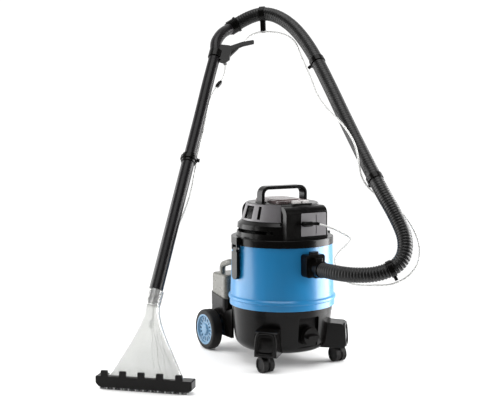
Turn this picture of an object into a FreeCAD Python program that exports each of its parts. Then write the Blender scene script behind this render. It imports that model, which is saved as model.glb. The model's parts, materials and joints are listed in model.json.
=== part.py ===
"""Wet and dry carpet cleaner: a drum vacuum with a motor head, a solution tank, a suction hose with
spray tubes, and a wand with a fan-shaped floor nozzle.

Units are millimetres. The machine is modelled with the drum's axis on Z, the front at -Y and the floor
at z = 0, and everything is moved at the end so that the origin is under the middle of the object.
"""
import FreeCAD
import Part
import math
import os

V = FreeCAD.Vector
X, Y, Z = V(1, 0, 0), V(0, 1, 0), V(0, 0, 1)

# ---- driving dimensions ----
DRUM_TOP_R = 160.5         # outside of the drum under the head
DRUM_LOW_R = 166.0         # outside of the drum above its bead
BEAD_OUT = 6.0             # how far the bead stands out of the drum
DRUM_WALL = 3.0
CONE_UP = 33.0             # from the drum's lower edge to where its cone starts
TUB_TOP_R = 163.0
TUB_LOW_R = 150.0
TUB_WALL = 3.5
TUB_FLOOR_Z = 45.0
FLANGE_Z = 185.0           # lower edge of the drum
DRUM_TOP_Z = 394.0
RIM_Z = 380.0              # lower edge of the head's skirt
DECK_Z = 403.0             # top of the head's base plate
HEAD_TOP_Z = 510.0
HEAD_R = 143.0
HEAD_WALL = 3.0
HANDLE_RISE = 52.0         # top of the handle above the dome
HANDLE_W = 171.0
HANDLE_DEPTH = 34.0
HANDLE_BAR = 11.0
HOSE_D = 46.0
SPRAY_D = 6.0
WAND_D = 38.0              # handle tube
WAND_LOW_D = 41.0          # lower tube
TUBE_WALL = 2.0
INLET_Z = 320.0
INLET_FACE_Y = -190.0
REAR_WHEEL_D = 134.0
REAR_WHEEL_W = 36.0
REAR_WHEEL_X = 138.0
REAR_AXLE_D = 12.0
CASTOR_X, CASTOR_Y = 136.0, -128.0
CASTOR_D = 48.0
CASTOR_TRAIL = 10.0
TANK_W, TANK_DEPTH = 216.0, 98.0
TANK_CLEAR = 7.0           # from the drum's bead to the tank
TANK_BACK_Y = DRUM_LOW_R + BEAD_OUT + TANK_CLEAR + TANK_DEPTH
REAR_AXLE_Y = TANK_BACK_Y - 37.0
TANK_BOTTOM_Z = REAR_WHEEL_D / 2 + 17.0    # above the axle
TANK_TOP_Z = 254.0
NOZZLE_W = 229.0
BRUSH_W = 290.0
GAP = 0.3                  # between pieces that move past each other
FIT = 0.08                 # radial running clearance of a pin in its bore

# ---- general shapes ----

def outline(corners, place):
    """A closed wire through corners (u, v, fillet radius); place(u, v) maps the plane to space."""
    n = len(corners)
    starts, ends, arcs = [], [], []
    for i, (u, v, radius) in enumerate(corners):
        here = V(u, v, 0)
        if radius <= 0:
            starts.append(here)
            ends.append(here)
            arcs.append(None)
            continue
        before = V(corners[i - 1][0], corners[i - 1][1], 0) - here
        after = V(corners[(i + 1) % n][0], corners[(i + 1) % n][1], 0) - here
        before.normalize()
        after.normalize()
        half = before.getAngle(after) / 2.0
        middle = before + after
        middle.normalize()
        reach = radius / math.tan(half)
        starts.append(here + before * reach)
        ends.append(here + after * reach)
        arcs.append(here + middle * (radius / math.sin(half) - radius))
    edges = []
    for i in range(n):
        if arcs[i] is not None:
            three = [place(p.x, p.y) for p in (starts[i], arcs[i], ends[i])]
            edges.append(Part.Arc(*three).toShape())
        first, second = place(ends[i].x, ends[i].y), place(starts[(i + 1) % n].x, starts[(i + 1) % n].y)
        if (second - first).Length > 1e-6:
            edges.append(Part.makeLine(first, second))
    return Part.Wire(edges)


def turned(corners, start=0.0, angle=360.0, centre=V(0, 0, 0)):
    """A solid of revolution about Z from (radius, z, fillet) corners."""
    c, s = math.cos(math.radians(start)), math.sin(math.radians(start))
    face = Part.Face(outline(corners, lambda r, z: centre + V(r * c, r * s, z)))
    return face.revolve(centre, Z, angle)


def block(x0, x1, y0, y1, z0, z1, radius=0.0):
    """A box with rounded upright edges."""
    corners = [(x0, y0, radius), (x1, y0, radius), (x1, y1, radius), (x0, y1, radius)]
    return Part.Face(outline(corners, lambda u, v: V(u, v, z0))).extrude(V(0, 0, z1 - z0))


def front_plate(x0, x1, z0, z1, y0, y1, radius):
    """A plate that faces Y, with rounded corners."""
    corners = [(x0, z0, radius), (x1, z0, radius), (x1, z1, radius), (x0, z1, radius)]
    return Part.Face(outline(corners, lambda u, v: V(u, y0, v))).extrude(V(0, y1 - y0, 0))


def side_prism(corners, x0, x1):
    """A prism along X from (y, z, fillet) corners."""
    return Part.Face(outline(corners, lambda y, z: V(x0, y, z))).extrude(V(x1 - x0, 0, 0))


def rod(radius, start, end):
    """A cylinder between two points."""
    axis = end - start
    return Part.makeCylinder(radius, axis.Length, start, axis)


def sleeve(outer, inner, start, end):
    """A round tube between two points."""
    return rod(outer, start, end).cut(rod(inner, start, end))


def join(shapes):
    """One clean solid from several."""
    return shapes[0].fuse(shapes[1:]).removeSplitter()


def on_axis(point, direction, across):
    """A placement function: u along across, v along direction, from point."""
    return lambda u, v: point + across * u + direction * v

# ---- routes of tubes and hoses ----

def route_wire(points):
    """Straight runs joined by tangent arcs, and the arcs' radii."""
    runs = [points[i + 1] - points[i] for i in range(len(points) - 1)]
    edges, radii, here = [], [], points[0]
    for i in range(1, len(points) - 1):
        back, ahead = runs[i - 1] * -1, V(runs[i])
        reach = 0.45 * min(back.Length, ahead.Length)
        back.normalize()
        ahead.normalize()
        half_turn = (math.pi - back.getAngle(ahead)) / 2.0
        radius = reach / math.tan(half_turn)
        middle = back + ahead
        middle.normalize()
        start, end = points[i] + back * reach, points[i] + ahead * reach
        top = points[i] + middle * (radius / math.cos(half_turn) - radius)
        edges.append(Part.LineSegment(here, start).toShape())
        edges.append(Part.Arc(start, top, end).toShape())
        radii.append(radius)
        here = end
    edges.append(Part.LineSegment(here, points[-1]).toShape())
    return Part.Wire(edges), radii


def swept(points, diameter, name=""):
    """A round bar along a route."""
    wire, radii = route_wire(points)
    ring = Part.Wire([Part.makeCircle(diameter / 2.0, points[0], points[1] - points[0])])
    solid = wire.makePipeShell([ring], True, False)
    if name:
        expected = math.pi * diameter ** 2 / 4.0 * wire.Length
        print(name, "length", round(wire.Length), "volume ratio", round(solid.Volume / expected, 4),
              "radii", [round(r) for r in radii])
    return solid


def points_of(rows):
    return [V(*row) for row in rows]


HOSE_ROUTE = points_of([
    (0, -225, 320), (0, -279, 320), (32, -345, 317), (82, -400, 325), (134, -434, 357), (163, -420, 417),
    (169, -368, 481), (165, -285, 568), (175, -117, 746), (187, 28, 906), (189, 131, 1017),
    (176, 222, 1095), (141, 294, 1135), (95, 342, 1131), (52, 368, 1101)])

SPRAY_UP_ROUTE = points_of([
    (28, -166, 452), (69, -180, 439), (97, -208, 420), (108, -228, 408), (90, -230, 393), (59, -224, 370),
    (37, -230, 342), (40, -282, 288), (61, -340, 284), (82, -386, 290), (107, -420, 294), (145, -447, 316),
    (180, -457, 357), (196, -441, 413), (198, -386, 478), (203, -296, 524), (166, -253, 548),
    (136, -233, 592), (133, -223, 649), (135, -205, 694), (133, -167, 736), (134, -118, 770),
    (144, -37, 806), (146, 20, 850), (153, 60, 899), (160, 110, 950), (165, 150, 995), (172, 190, 1037),
    (161, 252, 1066), (117, 314, 1074), (82, 334, 1061), (51, 330, 1030), (16, 312, 1012)])

SPRAY_DOWN_ROUTE = points_of([
    (-35, 306, 957), (-46, 286, 929), (-66, 272, 901), (-102, 256, 872), (-133, 240, 834), (-155, 219, 791),
    (-180, 188, 749), (-208, 160, 702), (-231, 142, 658), (-250, 121, 612), (-284, 88, 538),
    (-329, 64, 465), (-374, 49, 405), (-409, 24, 350), (-436, -1, 300), (-459, -21, 254), (-472, -34, 218),
    (-480, -43, 186)])


# ---- drum and tub ----

def tub_outer(grow=0.0):
    """The tub's outside, as a full solid."""
    return turned([(0, TUB_FLOOR_Z - grow, 0), (TUB_LOW_R + grow, TUB_FLOOR_Z - grow, 42),
                   (TUB_TOP_R + grow, FLANGE_Z + 12, 0), (0, FLANGE_Z + 12, 0)])


def tub_inner():
    w = TUB_WALL
    return turned([(0, TUB_FLOOR_Z + w, 0), (TUB_LOW_R - w, TUB_FLOOR_Z + w, 38),
                   (TUB_TOP_R - w, FLANGE_Z + 13, 0), (0, FLANGE_Z + 13, 0)])


def drum_outer(grow=0.0):
    """The drum's outside, with the bead and the flange below it."""
    bead = DRUM_LOW_R + BEAD_OUT
    return turned([(0, FLANGE_Z, 0), (DRUM_LOW_R + 2 + grow, FLANGE_Z, 0),
                   (DRUM_LOW_R + 2 + grow, FLANGE_Z + 18, 0), (bead + grow, FLANGE_Z + 21, 2),
                   (bead + grow, FLANGE_Z + 28, 2), (DRUM_LOW_R + grow, FLANGE_Z + CONE_UP, 0),
                   (DRUM_TOP_R + grow, DRUM_TOP_Z, 0), (0, DRUM_TOP_Z, 0)])


def drum():
    inner = turned([(0, FLANGE_Z - 1, 0), (TUB_TOP_R + 0.2, FLANGE_Z - 1, 0),
                    (TUB_TOP_R + 0.2, FLANGE_Z + 12, 0), (TUB_TOP_R - TUB_WALL, FLANGE_Z + 12, 0),
                    (TUB_TOP_R - TUB_WALL, FLANGE_Z + 18, 0), (DRUM_LOW_R - DRUM_WALL, FLANGE_Z + 26, 0),
                    (DRUM_TOP_R - DRUM_WALL, DRUM_TOP_Z + 1, 0), (0, DRUM_TOP_Z + 1, 0)])
    hole = rod(PORT_SPIGOT_R, V(0, -200, INLET_Z), V(0, -140, INLET_Z))
    return join([drum_outer().cut(inner), latch_catch(-1), latch_catch(1)]).cut(hole)


DRAIN_Z = 104.0
DRAIN_R = 27.0
POCKET = (-37.0, 37.0, 66.0, 162.0)     # x and z limits of the drain's recess
POCKET_Y = -143.0


def base_tub():
    """Tub with the recess and the boss for the drain."""
    x0, x1, z0, z1 = POCKET
    walls = front_plate(x0 - 4, x1 + 4, z0 - 4, z1 + 4, -172, POCKET_Y + 5, 8)
    walls = walls.common(tub_outer())
    body = tub_outer().cut(tub_inner()).fuse(walls)
    body = body.cut(front_plate(x0, x1, z0, z1, -180, POCKET_Y, 6))
    boss = rod(DRAIN_R + 4, V(0, -160, DRAIN_Z), V(0, POCKET_Y, DRAIN_Z))
    body = body.fuse(boss)
    return body.cut(rod(DRAIN_BORE_R, V(0, -170, DRAIN_Z), V(0, POCKET_Y + 6, DRAIN_Z))).removeSplitter()


DRAIN_BORE_R = 18.0


def drain_plug():
    """Disc with a stem in the drain bore and a grip bar across its face."""
    face_y = -160 - GAP
    disc = rod(DRAIN_R, V(0, face_y, DRAIN_Z), V(0, face_y - 9, DRAIN_Z))
    stem = rod(DRAIN_BORE_R - FIT, V(0, face_y, DRAIN_Z), V(0, POCKET_Y - 2, DRAIN_Z))
    grip = front_plate(-21, 21, DRAIN_Z - 5, DRAIN_Z + 5, face_y - 9, face_y - 24, 4)
    return join([disc, stem, grip])


# ---- castors ----

FOOT_TOP_Z, FOOT_BOTTOM_Z = 129.0, 51.0
STEM_R = 4.4
STEM_TOP_Z = 84.0


def castor_frame(side):
    """Radial and tangential directions at a castor."""
    out = V(side * CASTOR_X, CASTOR_Y, 0)
    out.normalize()
    return out, V(-out.y, out.x, 0)


def foot(side):
    """Pod on the tub's side that carries a castor, with a recess in its outer face."""
    out, across = castor_frame(side)
    stem = V(side * CASTOR_X, CASTOR_Y, 0)
    radius = stem.Length
    reach = radius + 23
    place = lambda u, v: out * u + V(0, 0, v) + across * -35
    corners = [(radius - 60, FOOT_BOTTOM_Z, 0), (reach, FOOT_BOTTOM_Z, 5), (reach - 5, FOOT_TOP_Z, 12),
               (radius - 60, FOOT_TOP_Z + 4, 0)]
    pod = Part.Face(outline(corners, place)).extrude(across * 70)
    dent = lambda u, v: out * (reach - 5.5) + across * u + V(0, 0, v)
    recess = [(-22, FOOT_BOTTOM_Z + 12, 6), (22, FOOT_BOTTOM_Z + 12, 6), (20, FOOT_TOP_Z - 16, 10),
              (-20, FOOT_TOP_Z - 16, 10)]
    pod = pod.cut(Part.Face(outline(recess, dent)).extrude(out * 20))
    pod = pod.cut(tub_outer())
    return pod.cut(rod(STEM_R + FIT, stem + Z * (FOOT_BOTTOM_Z - 1), stem + Z * (STEM_TOP_Z + 1)))


def castor_fork(side):
    """Swivelling middle piece of a twin-wheel castor, with its stem."""
    stem = V(side * CASTOR_X, CASTOR_Y, 0)
    hub = stem + V(0, CASTOR_TRAIL, CASTOR_D / 2)
    top = FOOT_BOTTOM_Z - GAP
    web = rod(CASTOR_D / 2 - 3, hub - X * 4, hub + X * 4)
    neck = rod(11, stem + Z * (CASTOR_D / 2), stem + Z * top)
    neck = neck.common(block(stem.x - 4, stem.x + 4, stem.y - 20, stem.y + 30, 0, 60))
    plate = rod(12, stem + Z * (CASTOR_D), stem + Z * top)
    pin = rod(STEM_R, stem + Z * (top - 1), stem + Z * STEM_TOP_Z)
    bore = rod(CASTOR_PIN_R + FIT, hub - X * 10, hub + X * 10)
    return join([web, neck, plate, pin]).cut(bore)


CASTOR_PIN_R = 3.0
CASTOR_WHEEL_W = 15.0


def castor_wheels(side):
    """Two wheels on one axle, dished on their outer faces."""
    hub = V(side * CASTOR_X, CASTOR_Y + CASTOR_TRAIL, CASTOR_D / 2)
    pieces = [rod(CASTOR_PIN_R, hub - X * 8, hub + X * 8)]
    for way in (-1, 1):
        near, far = hub + X * (way * (4 + GAP)), hub + X * (way * (4 + GAP + CASTOR_WHEEL_W))
        wheel = rod(CASTOR_D / 2, near, far)
        dish = rod(CASTOR_D / 2 - 5, far - X * (way * 3), far + X * way)
        pieces.append(wheel.cut(dish))
    return join(pieces)


# ---- rear wheels and bracket ----

HUB_R = 51.0


def rear_axle():
    end = REAR_WHEEL_X + REAR_WHEEL_W / 2 - 5
    return rod(REAR_AXLE_D / 2, V(-end, REAR_AXLE_Y, REAR_WHEEL_D / 2), V(end, REAR_AXLE_Y, REAR_WHEEL_D / 2))


def rear_tyre(side):
    centre = V(side * REAR_WHEEL_X, REAR_AXLE_Y, REAR_WHEEL_D / 2)
    half, radius = REAR_WHEEL_W / 2, REAR_WHEEL_D / 2
    place = lambda r, x: centre + V(x, 0, r)
    corners = [(HUB_R, -half, 0), (radius, -half, 8), (radius, half, 8), (HUB_R, half, 0)]
    return Part.Face(outline(corners, place)).revolve(centre, X, 360)


def rear_hub(side):
    """Dished wheel disc with a ring of slots and a raised cap on its outer face."""
    centre = V(side * REAR_WHEEL_X, REAR_AXLE_Y, REAR_WHEEL_D / 2)
    half = REAR_WHEEL_W / 2
    place = lambda r, x: centre + V(side * x, 0, r)
    corners = [(0, half - 8, 0), (0, half + 1, 0), (16, half + 1, 3), (22, half - 6, 3), (42, half - 6, 2),
               (45, half, 1.5), (HUB_R, half, 0), (HUB_R, -half, 0), (46, -half, 0), (45, half - 10, 0),
               (14, half - 10, 0), (14, -half, 0), (REAR_AXLE_D / 2 + FIT, -half, 0),
               (REAR_AXLE_D / 2 + FIT, half - 5 + GAP, 0), (0, half - 5 + GAP, 0)]
    corners = corners[1:]
    hub = Part.Face(outline(corners, place)).revolve(centre, X, 360)
    slots = 16
    for i in range(slots):
        angle = 2 * math.pi * i / slots
        out = V(0, math.sin(angle), math.cos(angle))
        across = V(0, math.cos(angle), -math.sin(angle))
        start = centre + out * 26
        spot = on_axis(start + X * (side * (half - 20)), out, across)
        shape = [(-1.8, 0, 1.2), (1.8, 0, 1.2), (3.2, 14, 2), (-3.2, 14, 2)]
        hub = hub.cut(Part.Face(outline(shape, spot)).extrude(X * (side * 30)))
    return hub


BRACKET_WALL = 3.0


def tank_block(grow, z0, z1, radius=16.0):
    """The solution tank's outline, larger by grow all round."""
    half = TANK_W / 2 + grow
    return block(-half, half, TANK_BACK_Y - TANK_DEPTH - grow, TANK_BACK_Y + grow, z0, z1, radius + grow)


def rear_bracket():
    """Open box that holds the solution tank, joined to the tub and carried by the rear axle."""
    outer = tank_block(GAP * 2 + BRACKET_WALL, TANK_BOTTOM_Z - BRACKET_WALL - GAP, 200)
    inner = tank_block(GAP * 2, TANK_BOTTOM_Z - GAP, 201)
    front, back = TANK_BACK_Y - TANK_DEPTH - 10, TANK_BACK_Y + 10
    cutter = side_prism([(front - 60, 172, 0), (front, 172, 0), (back, 190, 0), (back + 40, 190, 0),
                         (back + 40, 230, 0), (front - 60, 230, 0)], -200, 200)
    body = outer.cut(inner).cut(cutter)
    z_floor = TANK_BOTTOM_Z - BRACKET_WALL - GAP
    reach = TANK_W / 2 + GAP * 2 + BRACKET_WALL
    pieces = [body]
    for way in (-1, 1):
        cheek = side_prism([(130, 52, 4), (REAR_AXLE_Y - 30, 52, 4), (REAR_AXLE_Y + 24, 58, 10),
                            (REAR_AXLE_Y + 24, z_floor + 20, 0), (130, 150, 0)],
                           way * (reach - 8), way * reach)
        pieces.append(cheek)
        pieces.append(rod(12, V(way * (reach - 4), REAR_AXLE_Y, REAR_WHEEL_D / 2),
                          V(way * (REAR_WHEEL_X - REAR_WHEEL_W / 2 - GAP), REAR_AXLE_Y, REAR_WHEEL_D / 2)))
        rib = block(min(way * 40, way * 48), max(way * 40, way * 48), 130, TANK_BACK_Y - TANK_DEPTH + 6, 60, 168)
        pieces.append(rib)
    body = join(pieces).cut(tub_outer()).cut(tank_block(GAP * 2, TANK_BOTTOM_Z - GAP, 201))
    axle = rod(REAR_AXLE_D / 2, V(-200, REAR_AXLE_Y, REAR_WHEEL_D / 2), V(200, REAR_AXLE_Y, REAR_WHEEL_D / 2))
    return body.cut(axle)


# ---- solution tank ----

CAP_X, CAP_Y = 46.0, TANK_BACK_Y - 51.0
CAP_R = 28.0
NECK_R = 24.0
ELBOW = V(-92, CAP_Y, TANK_TOP_Z)
ELBOW_D = 20.0
TANK_WALL = 2.5
TANK_SHOULDER_R = 9.0


def solution_tank():
    """Blow-moulded tank with a filler neck and an outlet for its elbow."""
    body = tank_block(0, TANK_BOTTOM_Z, TANK_TOP_Z)
    top_edges = [e for e in body.Edges if e.BoundBox.ZMin > TANK_TOP_Z - 0.1]
    body = body.makeFillet(TANK_SHOULDER_R, top_edges)
    neck = rod(NECK_R, V(CAP_X, CAP_Y, TANK_TOP_Z - 2), V(CAP_X, CAP_Y, TANK_TOP_Z + 10))
    body = body.fuse(neck)
    hollow = tank_block(-TANK_WALL, TANK_BOTTOM_Z + TANK_WALL, TANK_TOP_Z - TANK_WALL)
    top_edges = [e for e in hollow.Edges if e.BoundBox.ZMin > TANK_TOP_Z - TANK_WALL - 0.1]
    body = body.cut(hollow.makeFillet(TANK_SHOULDER_R - TANK_WALL, top_edges))
    body = body.cut(rod(NECK_R - 3, V(CAP_X, CAP_Y, TANK_TOP_Z - 5), V(CAP_X, CAP_Y, TANK_TOP_Z + 12)))
    return body.cut(rod(ELBOW_D / 2 - TUBE_WALL, ELBOW - Z * 10, ELBOW + Z)).removeSplitter()


def tank_cap():
    """Screw cap over the filler neck."""
    base = V(CAP_X, CAP_Y, TANK_TOP_Z + GAP)
    cup = rod(CAP_R, base, base + Z * 14)
    cup = cup.cut(rod(NECK_R + GAP, base - Z, base + Z * (10 + GAP)))
    grip = block(CAP_X - 22, CAP_X + 22, CAP_Y - 4, CAP_Y + 4, TANK_TOP_Z + 13, TANK_TOP_Z + 20, 3)
    return join([cup, grip])


NIPPLE_TOP_Z = 300.0


def elbow_route():
    """From the tank's outlet up and over to the nipple on the drum."""
    out = V(-84, 150, 0)
    out.normalize()
    end = out * (DRUM_LOW_R + 9) + Z * NIPPLE_TOP_Z
    return [V(ELBOW), ELBOW + Z * 30, end + out * 22, end]


def tank_elbow():
    points = elbow_route()
    return swept(points, ELBOW_D).cut(swept(points, ELBOW_D - 2 * TUBE_WALL))


def tank_nipple():
    """Coupling on the drum that the tank's elbow points into."""
    end = elbow_route()[-1]
    out = V(end.x, end.y, 0)
    out.normalize()
    face = end - out * GAP
    piece = join([rod(ELBOW_D / 2 + 4, face - out * 6, face - out * 40),
                  rod(ELBOW_D / 2, face, face - out * 20)])
    return piece.cut(drum_outer())


# ---- suction inlet ----

PORT_SPIGOT_R = 28.0
PORT_BORE_R = 21.0
BLOCK_Z = (292.0, 362.0)
BUTTON_Z = 358.0


def inlet_port():
    """Block on the drum's front with the suction bore and a pocket for its release button."""
    face = front_plate(-34, 34, BLOCK_Z[0], BLOCK_Z[1], INLET_FACE_Y, -120, 9)
    face = face.cut(drum_outer())
    spigot = rod(PORT_SPIGOT_R, V(0, -175, INLET_Z), V(0, -128, INLET_Z))
    hood = block(-PORT_SPIGOT_R, PORT_SPIGOT_R, -128, -120, INLET_Z - 30, INLET_Z + PORT_SPIGOT_R, 3)
    body = join([face, spigot, hood])
    body = body.cut(rod(PORT_BORE_R, V(0, -200, INLET_Z), V(0, -128, INLET_Z)))
    pocket = block(-14 - GAP, 14 + GAP, INLET_FACE_Y + 3, INLET_FACE_Y + 21, BUTTON_Z - 4, BLOCK_Z[1] + 1)
    return body.cut(pocket)


def release_button():
    return block(-14, 14, INLET_FACE_Y + 3 + GAP, INLET_FACE_Y + 21 - GAP, BUTTON_Z, BLOCK_Z[1] + 8, 4)


def hose_cuff():
    """Cuff on the machine end of the hose."""
    end = HOSE_ROUTE[0]
    face = V(0, INLET_FACE_Y, INLET_Z)
    collar = rod(30, face, face - Y * 7)
    body = rod(HOSE_D / 2 + 2.5, face, end)
    lock = block(-11, 11, INLET_FACE_Y - 22, INLET_FACE_Y, INLET_Z + 22, INLET_Z + 34, 3)
    bore = rod(PORT_BORE_R, face + Y, end - Y)
    return join([collar, body, lock]).cut(bore)


# ---- head ----

SCOOP_HALF = 56.0          # half angle of a side vent
SCOOP_Z = 456.0
SCOOP_LEDGE_FALL = 20.0    # how far the ledge under a vent falls towards the outside
SCOOP_LOW_R, SCOOP_TOP_R = 128.0, 112.0
POD_X = 76.0
POD_Y = -141.0
SKIRT_WALL = 2.1
SKIRT_CLEAR = 0.46                         # from the drum, at the skirt's lower edge
SKIRT_IN_R = SKIRT_CLEAR + DRUM_TOP_R + (DRUM_LOW_R - DRUM_TOP_R) * (DRUM_TOP_Z - RIM_Z) / (
    DRUM_TOP_Z - FLANGE_Z - CONE_UP)
SKIRT_R = SKIRT_IN_R + SKIRT_WALL
DECK_HOLE_R = 40.0
VENT_T = 2.5
VENT_WINDOWS = [(-44.0, 5.0), (-34.0, 5.0), (-12.0, 21.0), (19.0, 5.5)]   # start and width, degrees
HANDLE_LEG_X = HANDLE_W / 2 - HANDLE_BAR / 2
BEZEL = (-34.0, 34.0, -117.0, -87.0)       # x and y range of the switches' frame
ROCKER_X = 15.0                            # each switch from the middle
ROCKER_Y = -102.0
ROCKER_Z = HEAD_TOP_Z + 2.0
ROCKER_RISE = 10.0
GLAND_X, GLAND_Z = 40.0, 435.0
GLAND_Y = (128.0, 168.0)                   # inner and outer end of the gland's sleeve
GLAND_R = 6.5
GLAND_BORE_R = 3.6
LATCH_PIN_X = DRUM_LOW_R + 5.5
LATCH_PIN_Z = RIM_Z - 8.0
LATCH_W = 32.0
LATCH_LOW_Z = 274.0


def scoop(side, inset=0.0):
    """What is cut away from the dome for one side vent."""
    middle = 0.0 if side > 0 else 180.0
    half = SCOOP_HALF - inset / 2.0
    low = SCOOP_Z - inset
    top = HEAD_TOP_Z + 5
    slope = (SCOOP_TOP_R - SCOOP_LOW_R) / (HEAD_TOP_Z - SCOOP_Z)
    edge = HEAD_R + 10
    return turned([(SCOOP_LOW_R - inset, low, 0), (edge, low - SCOOP_LEDGE_FALL, 0), (edge, top, 0),
                   (SCOOP_LOW_R + slope * (top - low) - inset, top, 0)], middle - half, 2 * half)


def dome(inset):
    """The head's outside, or its inside when inset is the wall."""
    top, radius = HEAD_TOP_Z - inset, HEAD_R - inset
    body = turned([(0, DECK_Z, 0), (radius + 4, DECK_Z, 0), (radius, DECK_Z + 36, 0),
                   (radius - 2, top, 34 - inset), (0, top, 0)])
    pod_x, pod_y = POD_X - inset, POD_Y + inset
    pod = side_prism([(-60, DECK_Z, 0), (pod_y, DECK_Z, 0), (pod_y, top - 6, 26 - inset), (-60, top - 2, 0)],
                     -pod_x, pod_x)
    body = body.cut(block(-90, 90, -200, pod_y, DECK_Z - 1, top + 1)).fuse(pod)
    for side in (-1, 1):
        body = body.cut(scoop(side, inset))
    return body


def head_cover():
    """Hollow dome with exhaust slots, vent openings and the front panel's recess."""
    shell = dome(0.0).cut(dome(HEAD_WALL))
    for middle in (0.0, 180.0):
        slot = turned([(125, DECK_Z + 16, 0), (170, DECK_Z + 16, 0), (170, DECK_Z + 27, 0),
                       (125, DECK_Z + 27, 0)], middle - 46, 92)
        shell = shell.cut(slot)
    for side in (-1, 1):
        shell = shell.cut(vent_windows(side, 3.0))
    shell = shell.cut(rod(GLAND_R + FIT, V(GLAND_X, GLAND_Y[0], GLAND_Z), V(GLAND_X, GLAND_Y[1], GLAND_Z)))
    shell = shell.cut(front_plate(-22, 72, DECK_Z + 10, DECK_Z + 82, POD_Y - 1, POD_Y + 1.2, 4))
    shell = shell.cut(block(BEZEL[0], BEZEL[1], BEZEL[2], BEZEL[3], HEAD_TOP_Z - 16, HEAD_TOP_Z + 20))
    for way in (-1, 1):
        shell = shell.cut(rod(3, V(way * HANDLE_LEG_X, 0, HEAD_TOP_Z - 10), V(way * HANDLE_LEG_X, 0, HEAD_TOP_Z + 1)))
    return shell


def vent_windows(side, grow=0.0):
    """The upright windows of a side vent, the last one towards the front."""
    cuts = []
    for start, width in VENT_WINDOWS:
        first = 180.0 + start if side < 0 else -start - width
        cuts.append(turned([(80, SCOOP_Z + 6 - grow, 0), (150, SCOOP_Z + 6 - grow, 0),
                            (150, HEAD_TOP_Z - 8 + grow, 0), (80, HEAD_TOP_Z - 8 + grow, 0)],
                           first - grow / 2, width + grow))
    return join(cuts)


def vent_panel(side):
    """Curved panel that lines a side vent."""
    middle = 0.0 if side > 0 else 180.0
    half = SCOOP_HALF - 0.6
    slope = (SCOOP_TOP_R - SCOOP_LOW_R) / (HEAD_TOP_Z - SCOOP_Z)
    tall = HEAD_TOP_Z - 2 - SCOOP_Z
    low, top = SCOOP_LOW_R, SCOOP_LOW_R + slope * tall
    sheet = turned([(low, SCOOP_Z, 0), (low + VENT_T, SCOOP_Z, 0), (top + VENT_T, SCOOP_Z + tall, 1.5),
                    (top, SCOOP_Z + tall, 0)], middle - half, 2 * half)
    return sheet.cut(vent_windows(side))


def head_base():
    """Base ring and deck of the head, with the latches' hinge blocks on its skirt."""
    ring = turned([(DECK_HOLE_R, DECK_Z - 6.7, 0), (DECK_HOLE_R, DECK_Z, 0), (SKIRT_R, DECK_Z, 2.5),
                   (SKIRT_R, RIM_Z, 0), (SKIRT_IN_R, RIM_Z, 0), (SKIRT_IN_R, DRUM_TOP_Z + GAP, 0),
                   (150, DRUM_TOP_Z + GAP, 0), (148, DECK_Z - 6.7, 0)])
    pieces = [ring]
    for side in (-1, 1):
        pieces += latch_ears(side)
    body = join(pieces)
    for side in (-1, 1):
        pin = V(side * LATCH_PIN_X, 0, LATCH_PIN_Z)
        body = body.cut(rod(2.5 + FIT, pin - Y * 20, pin + Y * 20))
    return body


def latch_ears(side):
    """Block on the skirt and the two ears that hold a latch's pin."""
    near, far = SKIRT_R - 2, LATCH_PIN_X + 6.5
    x0, x1 = sorted((side * near, side * far))
    half = LATCH_W / 2
    head = block(x0, x1, -half, half, LATCH_PIN_Z + 12, DECK_Z + 4, 2)
    ears = [head]
    for way in (-1, 1):
        y0, y1 = sorted((way * half, way * (half - 5)))
        near_ear = side * (LATCH_PIN_X - 6.5)
        e0, e1 = sorted((near_ear, side * far))
        ears.append(block(e0, e1, y0, y1, LATCH_PIN_Z, LATCH_PIN_Z + 13))
        ears.append(rod(6.5, V(side * LATCH_PIN_X, y0, LATCH_PIN_Z), V(side * LATCH_PIN_X, y1, LATCH_PIN_Z)))
    return ears


def latch(side):
    """Hanging latch lever with its pin: a channel with a rounded lower end."""
    half = LATCH_W / 2
    outer_x, inner_x = side * (LATCH_PIN_X + 6.5), side * (DRUM_LOW_R + 0.5)
    x0, x1 = sorted((inner_x, outer_x))
    top = LATCH_PIN_Z - 10
    corners = [(-half, LATCH_LOW_Z, half - 1), (half, LATCH_LOW_Z, half - 1), (half, top, 2), (-half, top, 2)]
    plate = side_prism(corners, x0, x1)
    hollow = [(-half + 4, LATCH_LOW_Z + 8, 10), (half - 4, LATCH_LOW_Z + 8, 10), (half - 4, top - 12, 2),
              (-half + 4, top - 12, 2)]
    h0, h1 = sorted((inner_x - side, inner_x + side * 6))
    plate = plate.cut(side_prism(hollow, h0, h1))
    pin = V(side * LATCH_PIN_X, 0, LATCH_PIN_Z)
    width = half - 5 - GAP
    knuckle = rod(5.5, pin - Y * width, pin + Y * width)
    k0, k1 = sorted((side * (LATCH_PIN_X - 4), side * (LATCH_PIN_X + 5.5)))
    neck = block(k0, k1, -width, width, top - 2, LATCH_PIN_Z)
    axle = rod(2.5, pin - Y * half, pin + Y * half)
    return join([plate, knuckle, neck, axle])


def latch_catch(side):
    """Catch on the drum that the latch snaps over."""
    x0, x1 = sorted((side * (DRUM_TOP_R - 12), side * (DRUM_LOW_R + 0.1)))
    plate = side_prism([(-9, LATCH_LOW_Z + 22, 3), (9, LATCH_LOW_Z + 22, 3), (9, LATCH_PIN_Z - 34, 3),
                        (-9, LATCH_PIN_Z - 34, 3)], x0, x1)
    return plate.cut(turned([(0, FLANGE_Z, 0), (DRUM_TOP_R - 1, FLANGE_Z, 0), (DRUM_TOP_R - 1, DRUM_TOP_Z, 0),
                             (0, DRUM_TOP_Z, 0)]))


def front_panel():
    plate = front_plate(-21.7, 71.7, DECK_Z + 10.3, DECK_Z + 81.7, POD_Y - 0.6, POD_Y + 1.2, 4)
    slot = front_plate(32.5, 35.5, DECK_Z + 16, DECK_Z + 76, POD_Y - 2, POD_Y + 3, 1)
    return plate.cut(slot)


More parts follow.
